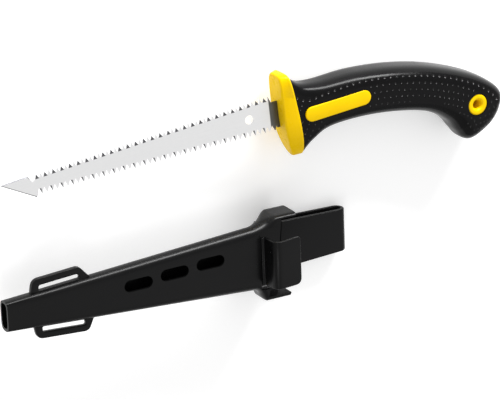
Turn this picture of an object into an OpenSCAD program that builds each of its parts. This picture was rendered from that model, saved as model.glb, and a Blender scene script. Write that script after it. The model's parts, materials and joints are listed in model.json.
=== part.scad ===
// Double-edged drywall jab saw lying on its side, with its belt sheath lying beside it.
// Millimetres. +X runs from the blade's point to the butt, +Y to the handle's back, +Z up.

/* [Blade] */
// Length of the blade in front of the guard
blade_len = 171.4; // [150:0.2:178]
// Height over both rows of teeth at the guard
blade_root_h = 21.2; // [18:0.2:23]
// Height over both rows of teeth just behind the plunge point
blade_nose_h = 12.0; // [10:0.2:14]
// Thickness of the steel
blade_t = 1.2; // [0.8:0.1:2]
// Pitch of the fine teeth on the back edge
fine_pitch = 2.52; // [2:0.02:4]
// Pitch of the coarse teeth on the belly edge
coarse_pitch = 3.13; // [2.4:0.01:5]
// Depth of the fine teeth
fine_depth = 2.2; // [1.2:0.1:2.6]
// Depth of the coarse teeth
coarse_depth = 2.9; // [1.5:0.1:3.2]
// Diameter of the hanging hole near the guard
blade_hole_d = 5.2; // [3:0.1:7]

/* [Handle] */
// Length from the blade side of the guard to the butt
handle_len = 142; // [125:1:160]
// Height of the grip at its waist
grip_h = 26.8; // [24:0.2:30]
// Greatest thickness of the grip
grip_w = 28; // [25:0.5:32]
// Thickness of the guard along the blade's axis
guard_t = 7.2; // [6:0.1:8]
// Height of the guard
guard_h = 50.2; // [46:0.2:52]
// Width of the guard across the blade
guard_w = 21; // [19:0.5:24]
// Outer diameter of the hang eyelet
eyelet_d = 12.4; // [10:0.1:14]
// Bore of the hang eyelet
eyelet_bore_d = 5.0; // [3.5:0.1:7]
// Width of each badge panel
badge_h = 8.6; // [6:0.1:10]
// Thickness of each badge panel
badge_t = 1.4; // [1:0.1:2]

/* [Sheath] */
// Length from the open tip to the start of the collar's flare
sleeve_len = 155; // [145:1:165]
// Height of the sleeve at its tip
sleeve_tip_h = 17.4; // [16:0.2:20]
// Height of the sleeve at the flare
sleeve_neck_h = 38.0; // [36:0.5:40]
// Thickness of the sleeve at its tip
sleeve_tip_t = 9.4; // [9:0.1:11]
// Thickness of the sleeve at the flare
sleeve_neck_t = 12; // [11.6:0.1:14]
// Moulded wall thickness
wall = 1.7; // [1.4:0.1:1.9]
// Length of the belt loop behind the collar
belt_loop_len = 41.5; // [34:0.5:46]
// Clear gap inside the belt loop
belt_gap = 4.8; // [4.6:0.1:6]
// Length of each window in the sleeve
window_len = 17.4; // [12:0.2:19]
// Height of each window in the sleeve
window_h = 7; // [5:0.2:8]

/* [Layout] */
// Angle between the sheath and the blade, as they lie
sheath_yaw = 4.7; // [0:0.1:8]
// Distance from the blade's axis to the sheath's tip
sheath_gap_y = 65.7; // [62:0.1:90]

/* [Hidden] */
eps = 0.01;
round_fn = 48;

// Heights above the floor
saw_z = grip_w / 2;
layer_t = 2;
plate_drop = 12.2;
sheath_z = plate_drop + 2 * layer_t + belt_gap;

// Where the sheath's tip lies, and the shift that centres the whole set over the origin
sheath_x = -182.9 + (171.4 - blade_len);
collar_belly_y = 26.6;
low_y = -sheath_gap_y - (sleeve_len + 12) * sin(sheath_yaw) - collar_belly_y * cos(sheath_yaw);
shift_x = -(sheath_x - sleeve_tip_h / 2 * sin(sheath_yaw) + handle_len) / 2;
guard_top = 0.438 * guard_h;
shift_y = -(guard_top + low_y) / 2;

// ---- shared helpers ----

function signed_pow(v, e) = sign(v) * pow(abs(v), e);

// Uniform Catmull-Rom through the points, at u from 0 to len - 1
function pick(pts, i) = pts[max(0, min(len(pts) - 1, i))];
function spline_mix(a, b, c, d, f) =
    b + 0.5 * f * (c - a + f * (2 * a - 5 * b + 4 * c - d + f * (3 * (b - c) + d - a)));
function spline(pts, u) =
    let (i = min(floor(u), len(pts) - 2))
    spline_mix(pick(pts, i - 1), pick(pts, i), pick(pts, i + 1), pick(pts, i + 2), u - i);

// A closed skin over rings that all have the same number of points
module loft(rings) {
    n = len(rings[0]);
    m = len(rings);
    points = [for (r = rings) each r];
    sides = [for (i = [0:m - 2]) for (j = [0:n - 1])
        let (k = (j + 1) % n)
        each [[i * n + j, i * n + k, (i + 1) * n + k], [i * n + j, (i + 1) * n + k, (i + 1) * n + j]]];
    half = n / 2 - 1;
    cap = [for (j = [0:half]) j == 0 ? [0, 1, n - 1] : j == half ? [j, j + 1, n - j] : [j, j + 1, n - j - 1, n - j]];
    start = [for (f = cap) [for (i = [len(f) - 1:-1:0]) f[i]]];
    finish = [for (f = cap) [for (i = f) (m - 1) * n + i]];
    polyhedron(points, concat(sides, start, finish));
}

// A rounded rectangle in the plane that crosses X at x0 and leans with Y and Z
corner_steps = 5;
function rr_ring(x0, lean, y0, y1, z0, z1, r) = [
    for (q = [0:3]) for (s = [0:corner_steps])
        let (a = -90 * q - 90 * s / corner_steps,
            y = (q == 0 || q == 3 ? y1 - r : y0 + r) + r * cos(a),
            z = (q < 2 ? z0 + r : z1 - r) + r * sin(a))
        [x0 + lean * y, y, z]];

module stadium(length, width, depth) {
    straight = length - width;
    for (s = [-1, 1]) translate([s * straight / 2, 0, 0])
        cylinder(d = width, h = depth, center = true, $fn = round_fn);
    cube([straight, width, depth], center = true);
}

// ---- blade ----

blade_taper = (blade_root_h - blade_nose_h) / 2 / 146;
function edge_y(x) = blade_root_h / 2 + blade_taper * x;
arrow_len = 20.2;
arrow_x = -blade_len + arrow_len;
arrow_notch = 4;
fine_from = -blade_len + 23.2;
fine_n = floor((-8 - fine_from) / fine_pitch);
coarse_from = -blade_len + 22.4;
coarse_n = floor((-4.6 - coarse_from) / coarse_pitch);
tooth_land = 0.14;
shoulder_top = 6.2;
shoulder_low = -9.2;
tang_top = 5.2;
tang_low = -8.6;
tang_len = 62;
tang_hole_d = 6;
tang_hole_x = [20, 46];
tang_mid_y = (tang_top + tang_low) / 2;

function fine_tooth(i) =
    let (x = fine_from + i * fine_pitch, p = fine_pitch)
    [[x + tooth_land * p, edge_y(x) - fine_depth], [x + p / 2, edge_y(x + p / 2)],
        [x + (1 - tooth_land) * p, edge_y(x + p) - fine_depth]];
function coarse_tooth(i) =
    let (x = coarse_from + i * coarse_pitch, p = coarse_pitch)
    [[x + tooth_land * p, coarse_depth - edge_y(x)], [x + p / 2, -edge_y(x + p / 2)],
        [x + (1 - tooth_land) * p, coarse_depth - edge_y(x + p)]];

module blade_outline() {
    back = [for (i = [0:fine_n - 1]) each fine_tooth(i)];
    belly = [for (i = [coarse_n - 1:-1:0]) let (t = coarse_tooth(i)) each [t[2], t[1], t[0]]];
    fine_end = fine_from + fine_n * fine_pitch;
    coarse_end = coarse_from + coarse_n * coarse_pitch;
    nose = [[arrow_x + 1.8, -edge_y(arrow_x) + arrow_notch],
        [arrow_x, -edge_y(arrow_x) - 0.9],
        [-blade_len, edge_y(-blade_len) - 0.1],
        [arrow_x - 4.1, edge_y(arrow_x - 4.1) + 0.2],
        [arrow_x - 1.8, edge_y(arrow_x) - arrow_notch]];
    tail = [[fine_end + 0.6, shoulder_top], [0, shoulder_top], [0, tang_top],
        [tang_len, tang_top - 1], [tang_len, tang_low + 1], [0, tang_low],
        [0, shoulder_low], [coarse_end + 0.4, shoulder_low]];
    polygon(concat(nose, back, tail, belly));
}

module tang_outline() {
    polygon([[0, tang_top], [tang_len, tang_top - 1], [tang_len, tang_low + 1], [0, tang_low]]);
}

module tang_holes(extra) {
    for (x = tang_hole_x) translate([x, tang_mid_y, 0])
        cylinder(d = tang_hole_d, h = blade_t + extra, center = true, $fn = round_fn);
}

module blade() {
    color("Gainsboro") difference() {
        linear_extrude(height = blade_t, center = true) blade_outline();
        tang_holes(1);
        translate([-19.2, 0.1, 0])
            cylinder(d = blade_hole_d, h = blade_t + 1, center = true, $fn = round_fn);
    }
}

// ---- handle ----

// The guard's back leans away from the hand at the top; its front bends back at the belly
guard_lean = 0.12;
guard_bend = 0.0078;
function guard_front(y) = guard_bend * pow(min(0, y + 2), 2);
function guard_back(y) = guard_t - guard_lean * y;
sx = handle_len / 142;
sh = grip_h / 26.8;
// Back and belly outlines of the grip, from the guard to the end of the butt
back_line = [[0, 21], [12.4 * sx, 14.1 * sh], [24.5 * sx, 11.6 * sh], [47.7 * sx, 11.2 * sh],
    [73.4 * sx, 7.6 * sh], [99 * sx, 0.6 * sh], [123.7 * sx, -10.6 * sh], [138.8 * sx, -22.6 * sh],
    [139.4 * sx, -32 * sh], [131.8 * sx, -40.6 * sh], [124 * sx, -47.8 * sh]];
belly_line = [[0, -26.6], [16.3 * sx, -21.4 * sh], [27.4 * sx, -16.1 * sh], [48.6 * sx, -15.7 * sh],
    [71 * sx, -18.8 * sh], [90.6 * sx, -24.5 * sh], [103.1 * sx, -33.2 * sh], [109.6 * sx, -41.6 * sh],
    [113.6 * sx, -46.4 * sh], [117.4 * sx, -48.5 * sh], [121 * sx, -49.2 * sh]];
half_w = [0.66, 0.74, 0.83, 0.92, 0.975, 1, 1, 0.97, 0.86, 0.62, 0.2];
grip_last = len(half_w) - 1;
grip_power = 2.8;
grip_sides = 28;
rings_per_span = 3;

function on_face(p) = [guard_back(p[1]), p[1]];
function back_at(u) = spline([for (i = [0:grip_last]) i == 0 ? on_face(back_line[0]) : back_line[i]], u);
function belly_at(u) = spline([for (i = [0:grip_last]) i == 0 ? on_face(belly_line[0]) : belly_line[i]], u);
function half_at(u) = grip_w / 2 * min(1, spline(half_w, u));
function grip_ring(u) =
    let (t = back_at(u), b = belly_at(u), m = (t + b) / 2, h = (t - b) / 2, w = half_at(u), e = 2 / grip_power)
    [for (j = [0:grip_sides - 1])
        let (a = -360 * j / grip_sides, c = signed_pow(cos(a), e), s = signed_pow(sin(a), e))
        [m[0] + h[0] * c, m[1] + h[1] * c, w * s]];

core_half_t = 6;
core_skin = 4.2;
core_steps = 22;
core_first = 0.55;
core_last = 7;
// Points of the core's outline, a skin's thickness inside the grip
function core_pt(u, side) =
    let (t = back_at(u), b = belly_at(u), d = (t - b) / norm(t - b), p = side > 0 ? t : b)
    p - side * core_skin * d;
core_neck_top = 9.4;
core_neck_low = -13;
core_neck_x = 2.4;

module core_outline() {
    back = [for (i = [0:core_steps]) core_pt(core_first + (core_last - core_first) * i / core_steps, 1)];
    belly = [for (i = [core_steps:-1:0]) core_pt(core_first + (core_last - core_first) * i / core_steps, -1)];
    polygon(concat(back, belly, [[guard_t + 4.6, core_neck_low], [core_neck_x, core_neck_low],
        [core_neck_x, core_neck_top], [guard_t + 1.6, core_neck_top]]));
}

eyelet_x = 120.1 * sx;
eyelet_y = -26.4 * sh;
eyelet_len = grip_w - 0.6;

module at_eyelet() {
    translate([eyelet_x, eyelet_y, 0]) children();
}

module core() {
    color("Gold") difference() {
        linear_extrude(height = 2 * core_half_t, center = true) core_outline();
        difference() {
            linear_extrude(height = blade_t, center = true) tang_outline();
            tang_holes(0);
        }
        at_eyelet() cylinder(d = eyelet_d, h = grip_w, center = true, $fn = round_fn);
    }
}

// The guard's outline seen along the blade: widest at the blade, narrow at the belly
guard_power_top = 3.2;
guard_power_low = 1.75;
guard_wide_y = -1.5;
guard_sides = 40;
guard_round = 3;
guard_low = guard_top - guard_h;
// A ring at a depth behind the bent front, or in the leaning back when from_back is true
function guard_ring(depth, inset, from_back) = [
    for (j = [0:guard_sides - 1])
        let (a = -360 * j / guard_sides, up = cos(a) >= 0,
            e = 2 / (up ? guard_power_top : guard_power_low),
            hy = (up ? guard_top - guard_wide_y : guard_wide_y - guard_low) - inset,
            y = guard_wide_y + hy * signed_pow(cos(a), e),
            z = (guard_w / 2 - inset) * signed_pow(sin(a), e))
        [from_back ? guard_back(y) - depth : guard_front(y) + depth, y, z]];
guard_steps = 4;
function guard_rings() = concat(
    [for (i = [0:guard_steps]) let (a = 90 * i / guard_steps)
        guard_ring(guard_round * (1 - cos(a)), guard_round * (1 - sin(a)), false)],
    [guard_ring(0.7, 0, true), guard_ring(0, 0.7, true)]);

module guard() {
    color("Gold") difference() {
        loft(guard_rings());
        translate([core_neck_x, core_neck_low, -core_half_t])
            cube([40, core_neck_top - core_neck_low, 2 * core_half_t]);
        linear_extrude(height = blade_t, center = true) tang_outline();
    }
}

badge_tilt = 2.6;
badge_x = 31.4 * sx;
badge_y = -2.6;
badge_len = 32.6 * sx + badge_h;
badge_z = 12.15 * grip_w / 28;

// The tilted plane that a badge's outer face lies in, on one side or the other
module at_badge(side) {
    mirror([0, 0, side < 0 ? 1 : 0]) translate([badge_x, badge_y, badge_z]) rotate([0, -badge_tilt, 2])
        children();
}

module badge(side) {
    color("Gold") at_badge(side) translate([0, 0, -badge_t / 2]) stadium(badge_len, badge_h, badge_t);
}

module badge_upper() badge(1);
module badge_lower() badge(-1);

module grip() {
    spans = grip_last * rings_per_span;
    color("DimGray") difference() {
        loft([for (i = [0:spans]) grip_ring(i / rings_per_span)]);
        linear_extrude(height = 2 * core_half_t, center = true) core_outline();
        at_eyelet() cylinder(d = eyelet_d, h = 2 * grip_w, center = true, $fn = round_fn);
        for (side = [-1, 1]) at_badge(side) translate([0, 0, 5 - badge_t])
            stadium(badge_len, badge_h, 10);
    }
}

module eyelet() {
    color("Gold") at_eyelet() difference() {
        cylinder(d = eyelet_d, h = eyelet_len, center = true, $fn = round_fn);
        cylinder(d = eyelet_bore_d, h = eyelet_len + 2, center = true, $fn = round_fn);
    }
}

// ---- sheath, in its own frame: X from the open tip to the belt loop, Z = 0 on the blade's plane ----

collar_back_y = 22.7;
collar_front = 4.7;
collar_back = -plate_drop - layer_t;
flare_mid = sleeve_len + 9;
flare_lean = 0.16;
rim_mid = sleeve_len + 22.3;
rim_lean = 0.11;
corner_r = 3;
notch_r = 1.9;
slot_x = sleeve_len + 0.4;
notch_x = slot_x + notch_r;
tongue_low = -15;
tongue_top = 13.2;
grow = (sleeve_neck_h - sleeve_tip_h) / 2 / sleeve_len;

function sleeve_ring(x, g) =
    let (hh = sleeve_tip_h / 2 + grow * x - g,
        ht = (sleeve_tip_t + (sleeve_neck_t - sleeve_tip_t) * x / sleeve_len) / 2 - g)
    rr_ring(x, 0, -hh, hh, -ht, ht, corner_r - g);
function collar_ring(x, lean, g) =
    rr_ring(x, lean, -collar_belly_y + g, collar_back_y - g, collar_back + g, collar_front - g, corner_r - g);

module sleeve_outer() loft([sleeve_ring(0, 0), sleeve_ring(sleeve_len, 0), collar_ring(flare_mid, flare_lean, 0)]);
module sleeve_inner() loft([sleeve_ring(-1, wall), sleeve_ring(sleeve_len, wall),
    collar_ring(flare_mid - 0.4, flare_lean, wall), collar_ring(flare_mid + 4, flare_lean, wall)]);

module tongue_slot(gap) {
    translate([slot_x, tongue_low - gap, 0]) cube([60, tongue_top - tongue_low + 2 * gap, 30]);
    translate([notch_x, tongue_low - 2 * notch_r, 0]) cube([60, tongue_top - tongue_low + 4 * notch_r, 30]);
    for (y = [tongue_low - notch_r, tongue_top + notch_r]) translate([notch_x, y, 0])
        cylinder(r = notch_r, h = 30, $fn = round_fn);
}

window_x = [78.8, 101.1, 123.4];
window_y = [2.7, 4.2, 5.5];

module sheath_sleeve() {
    color("DimGray") difference() {
        sleeve_outer();
        sleeve_inner();
        tongue_slot(tongue_gap);
        for (i = [0:2]) translate([window_x[i], window_y[i], 10]) stadium(window_len, window_h, 20);
    }
}

// A slab that keeps only what lies before a leaning plane
module keep_from(x, lean) {
    translate([x, 0, 0]) rotate([0, 0, -atan(lean)]) translate([0, -60, -40]) cube([80, 120, 80]);
}

module collar_channel() {
    d = collar_front - collar_back;
    h = collar_back_y + collar_belly_y;
    r = corner_r;
    translate([sleeve_len, -collar_belly_y, collar_back]) rotate([90, 0, 90])
        linear_extrude(height = 40) difference() {
            union() {
                translate([r, 0]) square([h - 2 * r, d]);
                translate([0, r]) square([h, d - r]);
                for (y = [r, h - r]) translate([y, r]) circle(r = r, $fn = round_fn);
            }
            translate([wall, layer_t]) square([h - 2 * wall, d]);
        }
}

module sheath_collar() {
    color("DimGray") difference() {
        intersection() {
            collar_channel();
            keep_from(flare_mid, flare_lean);
        }
        keep_from(rim_mid, rim_lean);
    }
}

loop_z = 3;
loop_rise = 7.4;
loop_bar = 3;
loop_from = 16.2;
loop_to = 51.5;
loop_slope = atan(grow);

// One strap loop on the back edge, drawn along the sleeve's sloping side
module strap_loop() {
    length = loop_to - loop_from;
    translate([loop_from, sleeve_tip_h / 2 + grow * loop_from, 0]) rotate([0, 0, loop_slope])
        linear_extrude(height = loop_z, center = true) difference() {
            polygon([[0, 0], [5, loop_rise - 1], [7.5, loop_rise], [length - 9, loop_rise],
                [length - 6, loop_rise - 1], [length, 0]]);
            polygon([[4.6, -eps], [7, loop_rise - loop_bar - 0.4], [8, loop_rise - loop_bar],
                [length - 9, loop_rise - loop_bar], [length - 8, loop_rise - loop_bar - 0.4],
                [length - 5, -eps]]);
        }
}

module strap_loop_back() {
    color("DimGray") strap_loop();
}

module strap_loop_belly() {
    color("DimGray") mirror([0, 1, 0]) translate([1, grow, 0]) strap_loop();
}

belt_end = rim_mid + 2.5 + belt_loop_len;
belt_r = layer_t + belt_gap / 2;
belt_mid_z = -plate_drop - belt_r;
belt_root = rim_mid - 12;
belt_back_y = 13;
belt_belly_y = 16.6;

module belt_profile() {
    run = belt_end - belt_r;
    difference() {
        union() {
            translate([belt_root, belt_mid_z - belt_r]) square([run - belt_root, 2 * belt_r]);
            translate([run, belt_mid_z]) circle(r = belt_r, $fn = round_fn);
        }
        translate([belt_root + 6, belt_mid_z - belt_gap / 2]) square([run - belt_root - 6, belt_gap]);
        translate([run, belt_mid_z]) circle(d = belt_gap, $fn = round_fn);
    }
}

module belt_loop() {
    taper = 1.5;
    back_cut = 180 - taper;
    color("DimGray") difference() {
        translate([0, belt_back_y, 0]) rotate([90, 0, 0])
            linear_extrude(height = belt_back_y + belt_belly_y) belt_profile();
        translate([belt_root - 1, belt_back_y, -40]) rotate([0, 0, -taper]) cube([90, 20, 60]);
        translate([belt_root - 1, -belt_belly_y, -40]) rotate([0, 0, 2 * taper]) translate([0, -20, 0])
            cube([90, 20, 60]);
        difference() {
            translate([belt_root - 1, -60, collar_back]) cube([100, 120, 30]);
            keep_from(rim_mid, rim_lean);
        }
    }
}

tongue_t = 1.8;
tongue_out = 17.7;
tongue_in = 15.9;
tongue_tip = sleeve_len + 20.2;
tongue_gap = 0.3;
neck_half_t = sleeve_neck_t / 2;

module tongue_profile() {
    x0 = slot_x + tongue_gap;
    x1 = sleeve_len + 1.8;
    x2 = sleeve_len + 5.6;
    polygon([[x0, neck_half_t], [x1, neck_half_t + 0.4], [x2 - 0.8, tongue_out - 0.7], [x2 + 0.6, tongue_out],
        [tongue_tip, tongue_in], [tongue_tip, tongue_in - tongue_t],
        [x2 + 1.2, tongue_out - tongue_t], [x1 + 1.6, neck_half_t - 0.6],
        [x1 + 0.6, neck_half_t - wall], [x0, neck_half_t - wall]]);
}

module tongue_plate() {
    r_low = 4;
    r_top = 1.6;
    x0 = sleeve_len;
    translate([x0, tongue_low, 0]) cube([tongue_tip - x0 - r_low, tongue_top - tongue_low, 30]);
    translate([x0, tongue_low + r_low, 0]) cube([tongue_tip - x0, tongue_top - tongue_low - r_low - r_top, 30]);
    translate([tongue_tip - r_low, tongue_low + r_low, 0]) cylinder(r = r_low, h = 30, $fn = round_fn);
    translate([tongue_tip - r_top, tongue_top - r_top, 0]) cylinder(r = r_top, h = 30, $fn = round_fn);
    translate([x0, tongue_top - r_top - eps, 0]) cube([tongue_tip - x0 - r_top, r_top + eps, 30]);
}

module latch_tongue() {
    color("DimGray") intersection() {
        translate([0, tongue_top + 5, 0]) rotate([90, 0, 0])
            linear_extrude(height = tongue_top - tongue_low + 10) tongue_profile();
        tongue_plate();
    }
}

// ---- places both pieces on the floor ----

module saw_place() {
    translate([shift_x, shift_y, saw_z]) children();
}

module sheath_place() {
    translate([shift_x + sheath_x, shift_y - sheath_gap_y, sheath_z]) rotate([0, 0, -sheath_yaw]) children();
}

saw_place() blade();
saw_place() core();
saw_place() guard();
saw_place() grip();
saw_place() eyelet();
saw_place() badge_upper();
saw_place() badge_lower();
sheath_place() sheath_sleeve();
sheath_place() sheath_collar();
sheath_place() strap_loop_back();
sheath_place() strap_loop_belly();
sheath_place() belt_loop();
sheath_place() latch_tongue();
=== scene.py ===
import json
import math

import bmesh
import bpy
import numpy as np
from mathutils import Matrix, Vector


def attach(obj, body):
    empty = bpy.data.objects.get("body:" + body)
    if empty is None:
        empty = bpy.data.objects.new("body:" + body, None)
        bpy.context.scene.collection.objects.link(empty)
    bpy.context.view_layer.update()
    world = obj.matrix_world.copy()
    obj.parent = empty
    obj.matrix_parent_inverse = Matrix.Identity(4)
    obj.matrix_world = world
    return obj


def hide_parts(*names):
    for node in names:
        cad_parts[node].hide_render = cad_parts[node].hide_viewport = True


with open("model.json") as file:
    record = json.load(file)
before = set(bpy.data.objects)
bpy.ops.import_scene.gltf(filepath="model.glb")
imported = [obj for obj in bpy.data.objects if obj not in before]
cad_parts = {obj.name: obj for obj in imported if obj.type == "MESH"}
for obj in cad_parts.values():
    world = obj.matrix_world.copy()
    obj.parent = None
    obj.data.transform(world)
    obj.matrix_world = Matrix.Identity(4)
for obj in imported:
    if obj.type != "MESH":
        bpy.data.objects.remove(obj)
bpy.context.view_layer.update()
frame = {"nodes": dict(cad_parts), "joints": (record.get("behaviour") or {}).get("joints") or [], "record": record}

# ---- places: the saw's and the sheath's own frames, in millimetres ----

MM = 0.001
mounts = {m["name"]: m for m in frame["record"]["mounts"]}
joints = {j["name"]: j for j in frame["joints"]}
EYELET = Vector((120.1, -26.4, 0.0))
saw_origin = Vector(mounts["eyelet_bore"]["pos_m"]) - EYELET * MM
SAW = Matrix.Translation(saw_origin) @ Matrix.Scale(MM, 4)
sheath_dir = -Vector(joints["sheath_draw"]["axis"])
sheath_turn = Matrix.Rotation(math.atan2(sheath_dir.y, sheath_dir.x), 4, "Z")
loop_face = Vector(mounts["belt_loop_back"]["pos_m"])
SHEATH = (Matrix.Translation(loop_face) @ sheath_turn @ Matrix.Scale(MM, 4)
          @ Matrix.Translation((-200.0, 1.5, 21.0)))

# ---- mesh helpers ----


def solid(name, points, faces):
    """A closed mesh object with outward normals, in a working frame's millimetres."""
    mesh = bpy.data.meshes.new(name)
    mesh.from_pydata([tuple(p) for p in points], [], [tuple(f) for f in faces])
    bm = bmesh.new()
    bm.from_mesh(mesh)
    bmesh.ops.remove_doubles(bm, verts=bm.verts, dist=1e-5)
    bmesh.ops.recalc_face_normals(bm, faces=bm.faces)
    bm.to_mesh(mesh)
    bm.free()
    obj = bpy.data.objects.new(name, mesh)
    bpy.context.scene.collection.objects.link(obj)
    return obj


def loft(name, rings, pole_end=None):
    """A skin over equal rings, closed with flat caps, or at its end with a pole."""
    n, m = len(rings[0]), len(rings)
    points = [p for r in rings for p in r]
    faces = [(i * n + j, i * n + (j + 1) % n, (i + 1) * n + (j + 1) % n, (i + 1) * n + j)
             for i in range(m - 1) for j in range(n)]
    faces.append(tuple(range(n)))
    last = (m - 1) * n
    if pole_end is None:
        faces.append(tuple(range(last, m * n)))
    else:
        points.append(pole_end)
        faces += [(last + j, last + (j + 1) % n, m * n) for j in range(n)]
    return solid(name, points, faces)


def prism(name, outline, lo, hi, along_y=False):
    """A flat outline pushed along z, or along y, where the outline's pairs are (x, z)."""
    if along_y:
        rings = [[(x, t, z) for x, z in outline] for t in (lo, hi)]
    else:
        rings = [[(x, y, t) for x, y in outline] for t in (lo, hi)]
    return loft(name, rings)


def bake(obj):
    """Applies the object's modifiers."""
    dg = bpy.context.evaluated_depsgraph_get()
    mesh = bpy.data.meshes.new_from_object(obj.evaluated_get(dg))
    obj.modifiers.clear()
    old = obj.data
    obj.data = mesh
    bpy.data.meshes.remove(old)


def combine(obj, others, operation="DIFFERENCE"):
    """Cuts the others out of the piece, or keeps what it shares with them."""
    for other in others:
        mod = obj.modifiers.new("combine", "BOOLEAN")
        mod.operation = operation
        mod.solver = "EXACT"
        mod.object = other
    bake(obj)
    for other in others:
        bpy.data.objects.remove(other)


def soften(obj, width, segments=2, angle=32):
    """Rounds the edges that a mould or a grinder would round."""
    mod = obj.modifiers.new("soften", "BEVEL")
    mod.width = width
    mod.segments = segments
    mod.limit_method = "ANGLE"
    mod.angle_limit = math.radians(angle)
    mod.use_clamp_overlap = True
    mod.miter_outer = "MITER_ARC"
    bake(obj)


def signed_power(value, exponent):
    """A power that keeps the value's sign."""
    return math.copysign(abs(value) ** exponent, value)


def finish_piece(obj, place, body, material, replaced, sharp=40):
    """Puts the piece in the set's frame, on its body, in the place of its CAD nodes."""
    obj.data.transform(place)
    obj.data.polygons.foreach_set("use_smooth", [True] * len(obj.data.polygons))
    obj.data.set_sharp_from_angle(angle=math.radians(sharp))
    if not obj.data.materials:
        obj.data.materials.append(material)
    obj.data.materials[0] = material
    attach(obj, body)
    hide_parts(*replaced)
    return obj


def fillet(points, radii, steps=6):
    """Rounds a polygon's corners, each with its own radius."""
    out = []
    n = len(points)
    for i, (p, r) in enumerate(zip(points, radii)):
        a, b, c = (Vector(points[i - 1]), Vector(p), Vector(points[(i + 1) % n]))
        if r <= 0:
            out.append(tuple(b))
            continue
        u, v = (a - b).normalized(), (c - b).normalized()
        half = u.angle(v) / 2
        d = min(r / math.tan(half), (a - b).length * 0.48, (c - b).length * 0.48)
        s, e = b + u * d, b + v * d
        for k in range(steps + 1):
            t = k / steps
            out.append(tuple(s * (1 - t) ** 2 + b * (2 * t * (1 - t)) + e * t ** 2))
    return out


def circle(cx, cy, r, n=64):
    turns = [2 * math.pi * i / n for i in range(n)]
    return [(cx + r * math.cos(a), cy + r * math.sin(a)) for a in turns]


def stadium(cx, cy, length, width, turn=0.0, n=20):
    """A slot with round ends."""
    half = (length - width) / 2
    out = []
    for side in (1, -1):
        for i in range(n + 1):
            a = math.pi * (i / n - 0.5)
            out.append((side * (half + width / 2 * math.cos(a)), side * width / 2 * math.sin(a)))
    c, s = math.cos(turn), math.sin(turn)
    return [(cx + c * x - s * y, cy + s * x + c * y) for x, y in out]


# ---- materials ----


class Paint:
    """A node material: a Principled shader with the nodes that vary it."""

    def __init__(self, name, **sockets):
        self.mat = bpy.data.materials.new(name)
        self.mat.use_nodes = True
        self.tree = self.mat.node_tree
        self.shader = self.tree.nodes["Principled BSDF"]
        for key, value in sockets.items():
            self.shader.inputs[key.replace("_", " ")].default_value = value
        self.coords = self.tree.nodes.new("ShaderNodeTexCoord").outputs["Object"]
        self.height = None

    def link(self, a, b):
        self.tree.links.new(a, b)

    def noise(self, scale, detail=3.0, rough=0.55, stretch=(1, 1, 1), distort=0.0):
        mapping = self.tree.nodes.new("ShaderNodeMapping")
        mapping.inputs["Scale"].default_value = stretch
        self.link(self.coords, mapping.inputs["Vector"])
        node = self.tree.nodes.new("ShaderNodeTexNoise")
        node.inputs["Scale"].default_value = scale
        node.inputs["Detail"].default_value = detail
        node.inputs["Roughness"].default_value = rough
        node.inputs["Distortion"].default_value = distort
        self.link(mapping.outputs["Vector"], node.inputs["Vector"])
        return node.outputs["Fac"]

    def ramp(self, value, lo, hi, to_lo=0.0, to_hi=1.0):
        node = self.tree.nodes.new("ShaderNodeMapRange")
        node.interpolation_type = "SMOOTHSTEP"
        for key, number in (("From Min", lo), ("From Max", hi), ("To Min", to_lo), ("To Max", to_hi)):
            node.inputs[key].default_value = number
        self.link(value, node.inputs["Value"])
        return node.outputs["Result"]

    def mix(self, factor, a, b):
        node = self.tree.nodes.new("ShaderNodeMix")
        node.data_type = "RGBA"
        self.link(factor, node.inputs["Factor"])
        for socket, value in ((node.inputs[6], a), (node.inputs[7], b)):
            if isinstance(value, tuple):
                socket.default_value = (*value, 1.0)
            else:
                self.link(value, socket)
        return node.outputs[2]

    def math(self, op, a, b):
        node = self.tree.nodes.new("ShaderNodeMath")
        node.operation = op
        for socket, value in ((node.inputs[0], a), (node.inputs[1], b)):
            if isinstance(value, (int, float)):
                socket.default_value = value
            else:
                self.link(value, socket)
        return node.outputs[0]

    def average(self, a, b):
        return self.math("MULTIPLY", self.math("ADD", a, b), 0.5)

    def axis(self, index):
        node = self.tree.nodes.new("ShaderNodeSeparateXYZ")
        self.link(self.coords, node.inputs[0])
        return node.outputs[index]

    def bump(self, height, strength, distance):
        node = self.tree.nodes.new("ShaderNodeBump")
        node.inputs["Strength"].default_value = strength
        node.inputs["Distance"].default_value = distance
        self.link(height, node.inputs["Height"])
        if self.height is not None:
            self.link(self.height, node.inputs["Normal"])
        self.height = node.outputs["Normal"]
        self.link(self.height, self.shader.inputs["Normal"])

    def colour(self, value):
        self.link(value, self.shader.inputs["Base Color"])

    def roughness(self, value):
        self.link(value, self.shader.inputs["Roughness"])


def steel(name, light, dark, rough_lo, rough_hi, painted_root_shade=False):
    p = Paint(name, Metallic=1.0)
    grain = p.noise(1.0, 4.0, 0.6, (60, 2600, 2600))
    cloud = p.noise(170.0, 3.0, 0.6, distort=0.4)
    brushing = p.average(grain, cloud)
    tone = p.mix(brushing, dark, light)
    if painted_root_shade:
        # painted shade: the root, where the blade goes into the moulding, darkened to stand in for the guard's
        # shadow and reflection on it
        band = p.ramp(p.axis(0), saw_origin.x - 6.4 * MM, saw_origin.x - 6.1 * MM)
        tone = p.mix(band, tone, (0.11, 0.113, 0.111))
    p.colour(tone)
    p.roughness(p.ramp(brushing, 0.35, 0.65, rough_lo, rough_hi))
    p.bump(grain, 0.10, 0.00006)
    p.bump(p.noise(1400.0, 2.0, 0.5), 0.08, 0.00005)
    return p.mat


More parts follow.
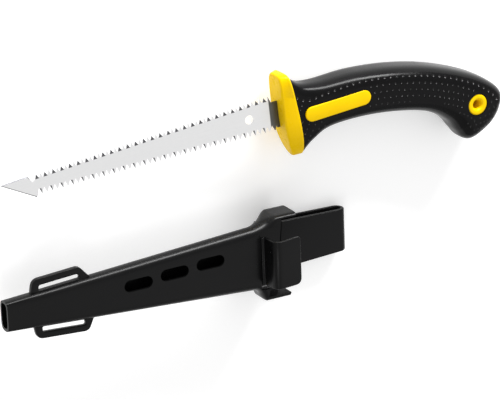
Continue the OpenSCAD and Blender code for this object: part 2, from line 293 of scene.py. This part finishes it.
def yellow_plastic():
    p = Paint("yellow_plastic", Specular_IOR_Level=0.08)
    cloud = p.noise(55.0, 3.0, 0.5, distort=0.3)
    wear = p.ramp(p.noise(420.0, 5.0, 0.65), 0.62, 0.78)
    tone = p.mix(p.ramp(cloud, 0.3, 0.7), (0.86, 0.545, 0.0), (0.90, 0.590, 0.0))
    p.colour(p.mix(wear, tone, (0.82, 0.50, 0.002)))
    p.roughness(p.ramp(p.noise(260.0, 4.0, 0.6), 0.3, 0.7, 0.24, 0.38))
    p.bump(p.noise(2600.0, 2.0, 0.5), 0.10, 0.00005)
    return p.mat


def black_rubber():
    p = Paint("black_rubber", Specular_IOR_Level=0.11)
    cloud = p.noise(70.0, 4.0, 0.6, distort=0.5)
    scuff = p.ramp(p.noise(1.0, 5.0, 0.7, (160, 900, 500)), 0.60, 0.80)
    tone = p.mix(cloud, (0.0022, 0.0022, 0.0024), (0.0044, 0.0044, 0.0046))
    p.colour(p.mix(scuff, tone, (0.011, 0.011, 0.0115)))
    p.roughness(p.ramp(cloud, 0.3, 0.7, 0.18, 0.24))
    p.bump(p.noise(3200.0, 3.0, 0.6), 0.22, 0.00008)
    return p.mat


def dimple_painted_sheen():
    """The insides of the grip's dimples, glossier than the rubber round them and painted a touch lighter: a
    painted sheen for the light their walls catch.
    """
    p = Paint("dimple_painted_sheen")
    p.colour(p.mix(p.noise(90.0, 2.0), (0.004, 0.004, 0.0042), (0.008, 0.008, 0.0082)))
    p.roughness(p.ramp(p.noise(60.0, 2.0), 0.3, 0.7, 0.12, 0.20))
    return p.mat


def satin_black():
    p = Paint("satin_black", Specular_IOR_Level=0.15)
    cloud = p.noise(38.0, 4.0, 0.55, distort=0.6)
    flow = p.noise(1.0, 4.0, 0.6, (14, 120, 120))
    scratch = p.ramp(p.noise(1.0, 6.0, 0.75, (90, 2100, 1300), 0.2), 0.66, 0.80)
    tone = p.mix(cloud, (0.0022, 0.0022, 0.0024), (0.0040, 0.0040, 0.0042))
    p.colour(p.mix(scratch, tone, (0.015, 0.015, 0.0155)))
    p.roughness(p.ramp(p.average(cloud, flow), 0.35, 0.65, 0.26, 0.34))
    p.bump(p.noise(2400.0, 3.0, 0.6), 0.16, 0.00008)
    return p.mat


# satin steel, with a painted shade band at its root where the guard's shadow and reflection fall
STEEL = steel("satin_steel", (0.88, 0.88, 0.88), (0.70, 0.70, 0.705), 0.30, 0.44, painted_root_shade=True)
# darker steel: a painted reflection, standing in for the dark that the ground tooth facets and honed edges mirror
PAINTED_REFLECTION_STEEL = steel("painted_reflection_steel", (0.16, 0.16, 0.17), (0.08, 0.08, 0.085), 0.38, 0.50)
YELLOW = yellow_plastic()
RUBBER = black_rubber()
DIMPLE_PAINTED_SHEEN = dimple_painted_sheen()
BLACK = satin_black()

# ---- blade ----

BLADE_LEN, BLADE_T = 171.4, 1.2
ROOT_H, NOSE_H = 21.2, 12.0
TAPER = (ROOT_H - NOSE_H) / 2 / 146
ARROW_X = -BLADE_LEN + 20.2
FINE_PITCH, FINE_DEPTH = 2.52, 2.7
COARSE_PITCH, COARSE_DEPTH = 3.13, 3.3
TOOTH_SET = 0.24
HOLE_AT, HOLE_R = Vector((-19.2, 0.1)), 2.6
# where a tooth's near gullet, tip and far gullet lie, as shares of its pitch
BROAD, SLIM, COARSE = (0.10, 0.36, 1.08), (0.18, 0.5, 0.90), (0.06, 0.5, 0.94)


def edge_y(x):
    """The half height of the tapering blade at x."""
    return ROOT_H / 2 + TAPER * x


def tooth_row(first, last, pitch, depth, side, shapes):
    """Each tooth's near gullet, tip and far gullet, from the point towards the handle."""
    out = []
    for i in range(int((last - first) / pitch)):
        x = first + i * pitch
        near, tip, far = shapes[i % len(shapes)]
        out.append(((x + near * pitch, side * (edge_y(x) - depth)),
                    (x + tip * pitch, side * edge_y(x + pitch / 2)),
                    (x + far * pitch, side * (edge_y(x + pitch) - depth))))
    return out


def blade_outline():
    """The outline without the tooth tips, and for each tooth its place in it, tip, grind and side."""
    back = tooth_row(ARROW_X, -4.2, FINE_PITCH, FINE_DEPTH, 1, (BROAD, SLIM))
    belly = tooth_row(ARROW_X + 1.7, -2, COARSE_PITCH, COARSE_DEPTH, -1, (COARSE,))
    x, y = ARROW_X, edge_y(ARROW_X)
    outline = [(x + 1.8, -y + 4), (x, -y - 1.4), (-BLADE_LEN, edge_y(-BLADE_LEN) - 0.1),
               (x - 4.1, edge_y(x - 4.1) + 0.2), (x - 1.4, y - 4)]
    teeth = []
    for i, (near, tip, far) in enumerate(back):
        teeth.append((len(outline), tip, i % 2 == 0, 1))
        outline += [near, far]
    tang = [(0, 6.2), (0, 5.2), (62, 4.2), (62, -7.6), (0, -8.6), (0, -9.2)]
    outline += [(back[-1][2][0] + 0.6, 6.2), *tang, (belly[-1][2][0] + 0.4, -9.2)]
    for i, (near, tip, far) in reversed(list(enumerate(belly))):
        teeth.append((len(outline), tip, i % 2 == 0, -1))
        outline += [far, near]
    return outline, teeth


def toothed_plate():
    """The blade's plate. Its teeth lean by turns to its two sides, and the ones that lean up are ground.

    A ground tooth of the finer row is painted dark on its whole upper face, a ground one of the coarser row
    on a sliver along its near flank, and both on their lower face: a painted reflection, standing in for the dark
    that their facets mirror.
    """
    h = BLADE_T / 2
    outline, teeth = blade_outline()
    n = len(outline)
    points = [(x, y, h) for x, y in outline] + [(x, y, -h) for x, y in outline]
    faces = [tuple(range(n)), tuple(range(2 * n - 1, n - 1, -1))]
    tooth_at = {t[0] for t in teeth}
    for i in range(n):
        if i not in tooth_at:
            j = (i + 1) % n
            faces.append((i, j, n + j, n + i))
    dark = []
    for i, (tx, ty), ground, side in teeth:
        top, low = (h + TOOTH_SET, TOOTH_SET) if ground else (h - 0.1, -h - TOOTH_SET)
        a, j = len(points), i + 1
        points += [(tx, ty, top), (tx, ty, low)]
        if ground:
            dark.append(len(faces))
        if ground and side < 0:
            (near_x, near_y, _), (far_x, far_y, _) = points[j], points[i]
            points.append((near_x + 0.40 * (far_x - near_x), near_y + 0.40 * (far_y - near_y) - 0.1, h))
            faces += [(j, a + 2, a), (a + 2, i, a), (i, a + 2, j)]
        else:
            faces.append((i, j, a))
        if ground:
            dark.append(len(faces))
        faces += [(n + j, n + i, a + 1), (j, n + j, a + 1, a), (n + i, i, a, a + 1)]
    obj = solid("blade_steel", points, faces)
    # the second material is the darker steel, a painted reflection on the ground faces
    for material in (STEEL, PAINTED_REFLECTION_STEEL):
        obj.data.materials.append(material)
    for f in dark:
        obj.data.polygons[f].material_index = 1
    return obj


def level(edge):
    """Whether an edge keeps to one height."""
    return abs(edge.verts[0].co.z - edge.verts[1].co.z) < 1e-4


def build_blade():
    obj = toothed_plate()
    combine(obj, [prism("hole", circle(*HOLE_AT, HOLE_R), -2, 2)])
    bm = bmesh.new()
    bm.from_mesh(obj.data)
    honed = [e for e in bm.edges if all(v.co.x < ARROW_X + 2.2 for v in e.verts)
             and level(e) and e.calc_length() > 3 and e.calc_face_angle(0) > 1]
    made = bmesh.ops.bevel(bm, geom=honed, offset=0.42, segments=1, affect="EDGES")
    # painted reflection: the honed bevels take the darker steel, for the dark edge line they mirror
    for f in made["faces"]:
        f.material_index = 1
    rim = [e for e in bm.edges if level(e)
           and all(abs((v.co.xy - HOLE_AT).length - HOLE_R) < 0.02 for v in e.verts)]
    bmesh.ops.bevel(bm, geom=rim, offset=0.15, segments=2, affect="EDGES")
    bm.to_mesh(obj.data)
    bm.free()
    return finish_piece(obj, SAW, "saw", STEEL, ["blade"], sharp=14)


# ---- grip ----

GRIP_W = 28.0
GUARD_T, GUARD_LEAN = 7.2, 0.12
# the grip's back, belly and share of its full width at each station, from the guard to the butt
BACK = [(0, 21), (12.4, 14.1), (24.5, 11.6), (47.7, 11.2), (73.4, 7.6), (99, 0.6), (123.7, -10.6),
        (138.8, -22.6), (139.3, -31.4), (133.6, -40.6), (122.8, -48.4)]
BELLY = [(0, -26.6), (16.3, -21.4), (27.4, -16.1), (48.6, -15.7), (71, -18.8), (90.6, -24.5),
         (103.1, -33.2), (109.2, -41.8), (112.4, -46.6), (115.6, -48.8), (119, -49.5)]
HALF = [0.66, 0.74, 0.83, 0.92, 0.975, 1, 1, 0.97, 0.86, 0.62, 0.2]
# how far the first row of dimples lies below the back, and the bare margin above the belly
ROW_DEPTH = [12, 9.2, 5.4, 4.0, 3.9, 4.0, 4.8, 6.6, 8.4, 9.5, 9.5]
ROW_MARGIN = [3, 3, 5.0, 7.2, 7.6, 8, 7, 5.5, 4.5, 4.5, 4.5]
# the power of the grip's section: the higher, the squarer
POWER = 3.0
EYELET_R = 6.2


def spline(values, u):
    """Catmull-Rom through the values, at u from 0 to len - 1."""
    v = np.asarray(values, float)
    i = min(int(u), len(v) - 2)
    a, b, c, d = (v[max(0, min(len(v) - 1, i + k))] for k in (-1, 0, 1, 2))
    f = u - i
    return b + 0.5 * f * (c - a + f * (2 * a - 5 * b + 4 * c - d + f * (3 * (b - c) + d - a)))


def guard_back(y):
    """The x of the guard's leaning back face."""
    return GUARD_T - GUARD_LEAN * y


def grip_section(u):
    """The back point, the belly point and the half width at station u."""
    back = [(guard_back(BACK[0][1]), BACK[0][1])] + BACK[1:]
    belly = [(guard_back(BELLY[0][1]), BELLY[0][1])] + BELLY[1:]
    return spline(back, u), spline(belly, u), GRIP_W / 2 * min(1.0, float(spline(HALF, u)))


def grip_ring(u, n=112):
    t, b, w = grip_section(u)
    m, h = (t + b) / 2, (t - b) / 2
    out = []
    for j in range(n):
        a = 2 * math.pi * j / n
        c, s = signed_power(math.cos(a), 2 / POWER), signed_power(math.sin(a), 2 / POWER)
        out.append((m[0] + h[0] * c, m[1] + h[1] * c, w * s))
    return out


def side_point(u, depth):
    """A point on the grip's side, a depth below its back, and the outward normal there."""
    t, b, w = grip_section(u)
    span = float(np.linalg.norm(t - b))
    d = (t - b) / span
    f = 1 - 2 * depth / span
    z = w * (1 - abs(f) ** POWER) ** (1 / POWER)
    p = t - d * depth
    na = signed_power(f, POWER - 1) / (span / 2)
    nz = (z / w) ** (POWER - 1) / w
    return Vector((p[0], p[1], z)), Vector((d[0] * na, d[1] * na, nz)).normalized()


BADGE_AT = Vector((31.4, -2.6, 12.15))
BADGE_LEN, BADGE_H, BADGE_T = 41.2, 8.6, 1.4
BADGE_TURN = (Matrix.Translation(BADGE_AT) @ Matrix.Rotation(math.radians(2), 4, "Z")
              @ Matrix.Rotation(math.radians(-2.6), 4, "Y"))
MIRROR = Matrix.Scale(-1, 4, (0, 0, 1))


def dimple_places():
    """Staggered rows along the grip's upper side, clear of the badge and the eyelet."""
    row_pitch, pitch = 3.7, 4.0
    badge_gap, eyelet_gap = 1.7, 2.0
    first_mouth, mouth = 0.92, 0.66
    us = np.linspace(0.30, 8.9, 1400)
    top = np.array([side_point(u, float(spline(ROW_DEPTH, u)))[0] for u in us])
    run = np.concatenate([[0], np.cumsum(np.linalg.norm(np.diff(top, axis=0), axis=1))])
    places = []
    for row in range(10):
        s = 0.5 * pitch * (row % 2)
        while s < run[-1]:
            u = float(np.interp(s, run, us))
            depth = float(spline(ROW_DEPTH, u)) + row * row_pitch
            s += pitch
            t, b, _ = grip_section(u)
            if np.linalg.norm(t - b) - depth < float(spline(ROW_MARGIN, u)):
                continue
            p, normal = side_point(u, depth)
            across = BADGE_TURN.inverted() @ p
            nearest = max(0.0, abs(across.x) - (BADGE_LEN - BADGE_H) / 2)
            if math.hypot(nearest, across.y) < BADGE_H / 2 + badge_gap:
                continue
            if (p.xy - EYELET.xy).length < EYELET_R + eyelet_gap:
                continue
            places.append((p, normal, first_mouth if row == 0 else mouth))
    return places


def ball(centre, r, rings=6, n=12):
    """The points and faces of a ball."""
    points = [centre + Vector((0, 0, r))]
    for i in range(1, rings):
        a = math.pi * i / rings
        points += [centre + Vector((r * math.sin(a) * math.cos(2 * math.pi * j / n),
                                    r * math.sin(a) * math.sin(2 * math.pi * j / n), r * math.cos(a)))
                   for j in range(n)]
    points.append(centre - Vector((0, 0, r)))
    last = len(points) - 1
    faces = [(0, 1 + j, 1 + (j + 1) % n) for j in range(n)]
    faces += [(1 + i * n + j, 1 + (i + 1) * n + j, 1 + (i + 1) * n + (j + 1) % n, 1 + i * n + (j + 1) % n)
              for i in range(rings - 2) for j in range(n)]
    faces += [(last, last - n + (j + 1) % n, last - n + j) for j in range(n)]
    return points, faces


def dimples():
    """One cutter for the dimples of both sides: balls that meet the surface in the mouth's radius."""
    points, faces = [], []
    for p, normal, mouth in dimple_places():
        for side in (1, -1):
            at = Vector((p.x, p.y, side * p.z))
            up = Vector((normal.x, normal.y, side * normal.z))
            r = mouth * 1.12
            more, cells = ball(at + up * math.sqrt(r * r - mouth * mouth), r)
            faces += [tuple(len(points) + i for i in f) for f in cells]
            points += more
    obj = solid("dimples", points, faces)
    # painted sheen: the pits' walls take the lighter dimple material
    for material in (RUBBER, DIMPLE_PAINTED_SHEEN):
        obj.data.materials.append(material)
    for face in obj.data.polygons:
        face.material_index = 1
    return obj


def badge_block(name, extra, top):
    """A block with the badge's outline, and some extra round it."""
    return prism(name, stadium(0, 0, BADGE_LEN + 2 * extra, BADGE_H + 2 * extra), -BADGE_T, top)


def move_to_side(obj, side):
    """Lays a block at the badge's place on the upper side, or mirrored on the lower one."""
    obj.data.transform(BADGE_TURN if side > 0 else MIRROR @ BADGE_TURN)
    if side < 0:
        obj.data.flip_normals()


def build_grip():
    rings_per_station, pocket_gap, eyelet_gap = 13, 0.32, 0.15
    rings = [grip_ring(i / rings_per_station) for i in range((len(BACK) - 1) * rings_per_station)]
    t, b, _ = grip_section(len(BACK) - 1.015)
    end = (t + b) / 2
    obj = loft("soft_grip", rings, pole_end=(end[0], end[1], 0.0))
    for material in (RUBBER, DIMPLE_PAINTED_SHEEN):
        obj.data.materials.append(material)
    cutters = []
    for side in (1, -1):
        pocket = badge_block("pocket", pocket_gap, 8)
        move_to_side(pocket, side)
        cutters.append(pocket)
    cutters.append(prism("hole", circle(EYELET.x, EYELET.y, EYELET_R + eyelet_gap), -20, 20))
    cutters.append(dimples())
    combine(obj, cutters)
    return finish_piece(obj, SAW, "saw", RUBBER, ["grip"], sharp=38)


def build_badge(side):
    node = "badge_upper" if side > 0 else "badge_lower"
    obj = badge_block(node + "_panel", 0, 0.12)
    soften(obj, 0.45, 3)
    move_to_side(obj, side)
    return finish_piece(obj, SAW, "saw", YELLOW, [node])


def build_eyelet():
    bore_r, top = 2.5, 13.7
    half = [(bore_r, 0.0), (bore_r, 8.0), (2.55, top - 1.9), (2.8, top - 1.0), (3.25, top - 0.32),
            (3.8, top - 0.04), (4.4, top), (5.3, top), (5.75, top - 0.1), (6.05, top - 0.35),
            (EYELET_R, top - 0.8), (EYELET_R, 0.0)]
    profile = half + [(r, -z) for r, z in reversed(half[1:-1])]
    points = [(x, y, z) for r, z in profile for x, y in circle(EYELET.x, EYELET.y, r)]
    m = len(profile)
    n = len(points) // m
    faces = [(i * n + j, i * n + (j + 1) % n, (i + 1) % m * n + (j + 1) % n, (i + 1) % m * n + j)
             for i in range(m) for j in range(n)]
    obj = solid("eyelet_ring", points, faces)
    return finish_piece(obj, SAW, "saw", YELLOW, ["eyelet"])


# ---- guard ----

GUARD_W, GUARD_H = 21.0, 50.2
GUARD_TOP = 0.438 * GUARD_H
# the height at which the guard is widest
WIDE_Y = -1.5


def guard_front(y):
    """The x of the guard's front face, which sweeps back towards its lower end."""
    return 0.0078 * min(0.0, y + 2) ** 2


def guard_ring(depth, inset, behind=False, shrink=1.0, narrow=0.0, n=112):
    """A section at a depth from the guard's front or its back, squarer above than below."""
    out = []
    for j in range(n):
        a = 2 * math.pi * j / n
        up = math.cos(a) >= 0
        e = 2 / (5.0 if up else 2.2)
        hy = (GUARD_TOP - WIDE_Y if up else WIDE_Y - GUARD_TOP + GUARD_H) - inset
        y = WIDE_Y + shrink * hy * signed_power(math.cos(a), e)
        z = shrink * (GUARD_W / 2 - narrow - inset) * signed_power(math.sin(a), e)
        out.append((guard_back(y) - depth if behind else guard_front(y) + depth, y, z))
    return out


def build_guard():
    front_r, back_r, proud, narrow = 1.3, 0.9, 0.8, 2.6
    rings = [guard_ring(-proud, front_r, shrink=s, narrow=narrow) for s in (0.1, 0.3, 0.5, 0.7, 0.85, 0.95)]
    rings += [guard_ring(front_r * (1 - math.cos(a)) - proud, front_r * (1 - math.sin(a)), narrow=narrow)
              for a in np.linspace(0, math.pi / 2, 9)]
    rings += [guard_ring(back_r - back_r * math.sin(a), back_r - back_r * math.cos(a), behind=True)
              for a in np.linspace(0, math.pi / 2, 5)]
    obj = loft("hand_guard", rings)
    return finish_piece(obj, SAW, "saw", YELLOW, ["guard"])


# ---- sheath ----

SLEEVE_LEN, WALL = 155.0, 1.7
TIP_H, NECK_H = 17.4, 38.0
TIP_T, NECK_T = 9.4, 12.0
GROW = (NECK_H - TIP_H) / 2 / SLEEVE_LEN
# how far the collar reaches up, down, to the front and to the rear
COLLAR_TOP, COLLAR_LOW, FRONT, REAR = 22.7, 26.6, 4.7, -14.2
# where the flare ends and where the rim is, at y = 0, and how far each leans with y
FLARE_X, FLARE_LEAN, RIM_X, RIM_LEAN = 164.0, 0.16, 177.3, 0.11
WINDOWS = [(78.8, 2.7), (101.1, 4.2), (123.4, 5.5)]
WINDOW_LEN, WINDOW_H = 17.4, 7.0
TONGUE_LOW, TONGUE_TOP = -15.0, 13.2
STRAP_X = 16.2


def crowned_ring(x0, lean, y0, y1, z0, z1, edge, crown, n=96):
    """A section whose edges and faces are crowned: the lower the power, the rounder."""
    out = []
    for j in range(n):
        a = -2 * math.pi * (j + 0.5) / n
        y = (y0 + y1) / 2 + (y1 - y0) / 2 * signed_power(math.cos(a), 2 / edge)
        z = (z0 + z1) / 2 + (z1 - z0) / 2 * signed_power(math.sin(a), 2 / crown)
        out.append((x0 + lean * y, y, z))
    return out


def blend(a, b, share):
    """The value a share of the way from a to b."""
    return a + (b - a) * share


def sleeve_ring(x, inset, t=0.0, rim=None):
    """The sleeve's section at x, blended by t into the collar's; a rim gives the section its own x."""
    run = min(x, SLEEVE_LEN)
    along = max(0.0, run / SLEEVE_LEN)
    half_h = TIP_H / 2 + GROW * run
    half_t = blend(TIP_T, NECK_T, run / SLEEVE_LEN) / 2
    y0, y1 = blend(-half_h, -COLLAR_LOW, t), blend(half_h, COLLAR_TOP, t)
    z0, z1 = blend(-half_t, REAR, t), blend(half_t, FRONT, t)
    square = max(0.0, (t - 0.5) / 0.5) ** 2
    edge = blend(5.0 + 1.6 * along, 8.0, square)
    crown = blend(3.0 - 1.1 * along ** 0.6, 8.0, square)
    low = inset * (1 + 0.6 * t)
    inset *= min(1.0, 0.72 + max(0.0, x) / 60)
    at, lean = (x, FLARE_LEAN * t) if rim is None else (rim, RIM_LEAN)
    return crowned_ring(at, lean, y0 + low, y1 - inset, z0 + inset, z1 - inset, edge, crown)


def shell_rings(inset, start, stop):
    """The sections from the tip to the collar's rim."""
    rings = [sleeve_ring(x, inset) for x in (start, 20, 40, 60, 80, 100, 120, 135, 147)]
    flare = SLEEVE_LEN - 3
    for t in (0, 0.14, 0.28, 0.42, 0.56, 0.7, 0.8, 0.88, 0.94, 1.0):
        eased = t * t * (3 - 2 * t)
        rings.append(sleeve_ring(blend(flare, FLARE_X, t), inset, 0.75 * eased + 0.25 * t * t))
    rings.append(sleeve_ring(FLARE_X, inset, 1.0, stop))
    return rings


def lean_box(x, lean, y0, y1, z0, z1, length):
    """A box whose near face leans with y."""
    pts = [(x + lean * y, y, z) for y in (y0, y1) for z in (z0, z1)]
    far = [(x + length, y, z) for y in (y0, y1) for z in (z0, z1)]
    faces = [(0, 1, 3, 2), (4, 6, 7, 5), (0, 2, 6, 4), (1, 5, 7, 3), (0, 4, 5, 1), (2, 3, 7, 6)]
    return solid("lean_box", pts + far, faces)


def finish_sheath(obj, nodes, body="sheath"):
    """Finishes a piece of the sheath, which is all of one black plastic."""
    return finish_piece(obj, SHEATH, body, BLACK, nodes, sharp=42)


def build_shell():
    obj = loft("sheath_shell", shell_rings(0, 0, RIM_X))
    inner = loft("inner", shell_rings(WALL, -2, RIM_X + 3))
    lean = math.radians(0.5)
    windows = [prism("window", stadium(x, y, WINDOW_LEN, WINDOW_H, lean), 0.5, 12) for x, y in WINDOWS]
    r = 1.9
    near, far, low, top = SLEEVE_LEN + 0.4, SLEEVE_LEN + 60, TONGUE_LOW - 2 * r, TONGUE_TOP + 2 * r
    notch = fillet([(near, low), (near, top), (far, top), (far, low)], [r, r, 0, 0])
    front = lean_box(FLARE_X, FLARE_LEAN, -COLLAR_LOW + 1.6 * WALL, COLLAR_TOP - WALL, -4, 12, 60)
    combine(obj, [inner, front, prism("notch", notch, 0.5, 30)] + windows)
    soften(obj, 0.5, 3)
    return finish_sheath(obj, ["sheath_sleeve", "sheath_collar"])


def build_tongue():
    """A strip that rises from the sleeve's end and runs over the collar's front towards its rim."""
    neck, out, tip_z, t = NECK_T / 2, 17.7, 15.9, 1.8
    x0, x1, x2, tip = (SLEEVE_LEN + d for d in (0.7, 2.2, 3.2, 20.2))
    profile = fillet([(x0, neck), (x1, neck + 0.2), (x2, out + 0.1), (tip, tip_z),
                      (tip, tip_z - t), (x2 + t, out - t), (x1 + t, neck - WALL), (x0, neck - WALL)],
                     [0, 1.6, 5.0, 0, 0, 3.4, 2.0, 0], 10)
    obj = prism("latch_flap", profile, TONGUE_LOW - 3, TONGUE_TOP + 3, along_y=True)
    plate = fillet([(SLEEVE_LEN, TONGUE_LOW), (tip, TONGUE_LOW),
                    (tip, TONGUE_TOP), (SLEEVE_LEN, TONGUE_TOP)], [0, 4, 1.8, 0], 8)
    combine(obj, [prism("plate", plate, -5, 40)], "INTERSECT")
    soften(obj, 0.45, 3)
    return finish_sheath(obj, ["latch_tongue"], "latch")


def half_round(x, z, r, n):
    """The points of a half circle that bulges along x."""
    turns = [math.pi * i / n for i in range(n + 1)]
    return [(x + r * math.sin(a), z + r * math.cos(a)) for a in turns]


def band_trim(x, y, degrees, side):
    """What lies beyond a line from x, y that leans towards the band's middle."""
    a, reach, clear = math.radians(degrees), 90, side * 40
    outline = [(x, y), (x + reach * math.cos(a), y - side * reach * math.sin(a)),
               (x + reach + 1, clear), (x, clear)]
    return prism("trim", outline, -40, 20)


def build_belt_loop():
    gap, t = 4.8, 2.0
    top, low = 13, -16.6
    r = t + gap / 2
    mid = -12.2 - r
    run, root = RIM_X + 44.0 - r, RIM_X - 12
    band = [(root, mid - r), (root, mid + r)] + half_round(run, mid, r, 20)
    hollow = [(root + 6, mid - gap / 2), (root + 6, mid + gap / 2)] + half_round(run, mid, gap / 2, 16)
    behind_rim = [(root - 1, -60), (RIM_X - 60 * RIM_LEAN, -60), (RIM_X + 60 * RIM_LEAN, 60), (root - 1, 60)]
    obj = prism("belt_band", band, low, top, along_y=True)
    combine(obj, [prism("gap", hollow, -30, 30, along_y=True),
                  band_trim(root - 1, top, 1.5, 1), band_trim(root - 1, low, 3, -1),
                  prism("behind_rim", behind_rim, REAR, 20)])
    soften(obj, 0.5, 3)
    return finish_sheath(obj, ["belt_loop"])


def build_strap_loop(side):
    rise, bar, length = 7.4, 3.8, 35.3
    shoulder = length - (5.6 if side > 0 else 2.6)
    outer = fillet([(-0.5, -0.6), (1.4, rise), (shoulder, rise), (length + 0.5, -0.6)], [0, 5.5, 4.2, 0], 8)
    inner = fillet([(4.4, 0.5), (4.8, rise - bar), (shoulder - 1.6, rise - bar), (length - 5.4, 0.5)],
                   [0.9, 1.2, 1.2, 0.9], 6)
    name = "back" if side > 0 else "belly"
    obj = prism("strap_bar_" + name, outer, -1.5, 1.5)
    combine(obj, [prism("slot", inner, -4, 4)])
    soften(obj, 0.6, 3)
    edge = Matrix.Translation((STRAP_X, TIP_H / 2 + GROW * STRAP_X, 0))
    obj.data.transform(edge @ Matrix.Rotation(math.atan(GROW), 4, "Z"))
    if side < 0:
        # mirrored, and a millimetre nearer the mouth
        obj.data.transform(Matrix.Scale(-1, 4, (0, 1, 0)) @ Matrix.Translation((1, GROW, 0)))
        obj.data.flip_normals()
    return finish_sheath(obj, ["strap_loop_" + name])


build_blade()
build_guard()
build_grip()
build_badge(1)
build_badge(-1)
build_eyelet()
build_shell()
build_tongue()
build_belt_loop()
build_strap_loop(1)
build_strap_loop(-1)

# the core has no piece of its own: its CAD node is carried over, in yellow
core = frame["nodes"]["core"]
for slot_index in range(len(core.material_slots)):
    core.material_slots[slot_index].material = YELLOW

# ---- floor, light and camera ----


def lay_floor():
    p = Paint("pale_floor", Roughness=1.0, Specular_IOR_Level=0.0,
              Emission_Color=(1, 1, 1, 1), Emission_Strength=0.32)
    p.colour(p.mix(p.noise(3.0, 2.0), (0.86, 0.86, 0.86), (0.88, 0.88, 0.88)))
    bpy.ops.mesh.primitive_plane_add(size=14, location=(0, 0, -0.0004))
    floor = bpy.context.object
    floor.name = "floor"
    floor.data.materials.append(p.mat)


def hang_sky():
    """A white sky, a little brighter overhead than at the horizon."""
    world = bpy.data.worlds.new("studio")
    world.use_nodes = True
    sky = world.node_tree
    background = sky.nodes["Background"]
    background.inputs[0].default_value = (1, 1, 1, 1)
    direction = sky.nodes.new("ShaderNodeTexCoord").outputs["Generated"]
    height = sky.nodes.new("ShaderNodeSeparateXYZ")
    fade = sky.nodes.new("ShaderNodeMapRange")
    fade.interpolation_type = "SMOOTHSTEP"
    for key, number in (("From Min", 0.06), ("From Max", 0.45), ("To Min", 0.45), ("To Max", 0.62)):
        fade.inputs[key].default_value = number
    sky.links.new(direction, height.inputs[0])
    sky.links.new(height.outputs[2], fade.inputs["Value"])
    sky.links.new(fade.outputs[0], background.inputs[1])
    bpy.context.scene.world = world
    bpy.context.scene.view_settings.view_transform = "Standard"


def softbox(name, direction, distance, width, height, power):
    data = bpy.data.lights.new(name, "AREA")
    data.shape = "RECTANGLE"
    data.size, data.size_y = width, height
    data.energy = power
    lamp = bpy.data.objects.new(name, data)
    bpy.context.scene.collection.objects.link(lamp)
    d = Vector(direction).normalized()
    lamp.location = d * distance
    lamp.rotation_euler = d.to_track_quat("Z", "Y").to_euler()


LENS, SENSOR = 240.0, 36.0
# millimetres: the width of the view at the saw, and the saw's origin right of and above its middle
VIEW_WIDTH, ORIGIN_RIGHT, ORIGIN_ABOVE = 278.11, 16.08, 49.62


def place_camera():
    """A long lens, far off above the set and towards the saw's point and back, and then rolled."""
    back = Vector((-0.41, 0.38, 0.83)).normalized()
    level_x = (Vector((1, 0, 0)) - back * back.x).normalized()
    level_y = back.cross(level_x)
    roll = math.radians(17.45)
    right = level_x * math.cos(roll) - level_y * math.sin(roll)
    up = level_x * math.sin(roll) + level_y * math.cos(roll)
    data = bpy.data.cameras.new("camera")
    data.lens, data.sensor_width, data.sensor_fit = LENS, SENSOR, "HORIZONTAL"
    data.clip_start, data.clip_end = 0.05, 50
    camera = bpy.data.objects.new("camera", data)
    bpy.context.scene.collection.objects.link(camera)
    turn = Matrix((right, up, back)).transposed().to_4x4()
    offset = back * (LENS / SENSOR * VIEW_WIDTH) - right * ORIGIN_RIGHT - up * ORIGIN_ABOVE
    camera.matrix_world = Matrix.Translation(saw_origin + offset * MM) @ turn
    bpy.context.scene.camera = camera


lay_floor()
hang_sky()
softbox("strip", (0.41, 0.86, 0.30), 1.15, 0.70, 0.24, 20.0)
softbox("card", (0.41, -0.38, 0.83), 1.5, 1.3, 1.3, 2.2)
softbox("left", (-0.50, -0.34, 0.80), 1.3, 0.35, 0.6, 2.0)
place_camera()
